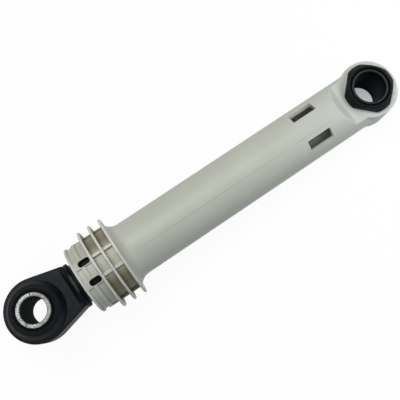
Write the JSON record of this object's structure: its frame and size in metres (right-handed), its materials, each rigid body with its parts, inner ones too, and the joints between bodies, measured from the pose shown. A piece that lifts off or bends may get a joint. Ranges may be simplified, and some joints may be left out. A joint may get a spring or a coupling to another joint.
{
  "type": "washing machine shock absorber",
  "caption": "Friction damper with a moulded barrel, ribbed collar, sliding hollow rod and a rubber-bushed mounting eye at each end.",
  "frame": {"origin": "centre of the barrel eye's bore, half-way through it", "axes": "+X from the barrel eye to the rod eye along the damper, +Z along both eyes' bores, +Y across"},
  "size_m": [0.2177, 0.0408, 0.0408],
  "materials": {
    "barrel_plastic": "moulded warm light grey, fine satin",
    "rod_plastic": "moulded black, fine satin",
    "cap_plastic": "moulded black, matt",
    "bush_rubber": "moulded black rubber, matt",
    "flange_rubber": "moulded black rubber, satin",
    "inner_sleeve_plastic": "moulded black, satin",
    "sleeve_steel": "zinc plated, bright rough-cut ends",
    "liner_foam": "open-cell foam soaked in grease"
  },
  "bodies": {
    "barrel": {"barrel": "barrel_plastic", "guide_cap": "cap_plastic", "friction_liner": "liner_foam", "liner_washer": "cap_plastic", "barrel_eye_rubber": "flange_rubber", "barrel_eye_sleeve": "inner_sleeve_plastic"},
    "guide_ring": {"rod_guide_ring": "cap_plastic"},
    "rod": {"rod": "rod_plastic", "rod_eye_rubber": "bush_rubber", "rod_eye_sleeve": "sleeve_steel"}
  },
  "joints": [
    {"name": "rod_slide", "type": "slide", "parent": "barrel", "child": "guide_ring", "axis": [1, 0, 0], "range_m": [-0.002, 0.09]},
    {"name": "rod_turn", "type": "hinge", "parent": "guide_ring", "child": "rod", "pos_m": [0.1, 0, 0], "axis": [1, 0, 0], "continuous": true}
  ]
}
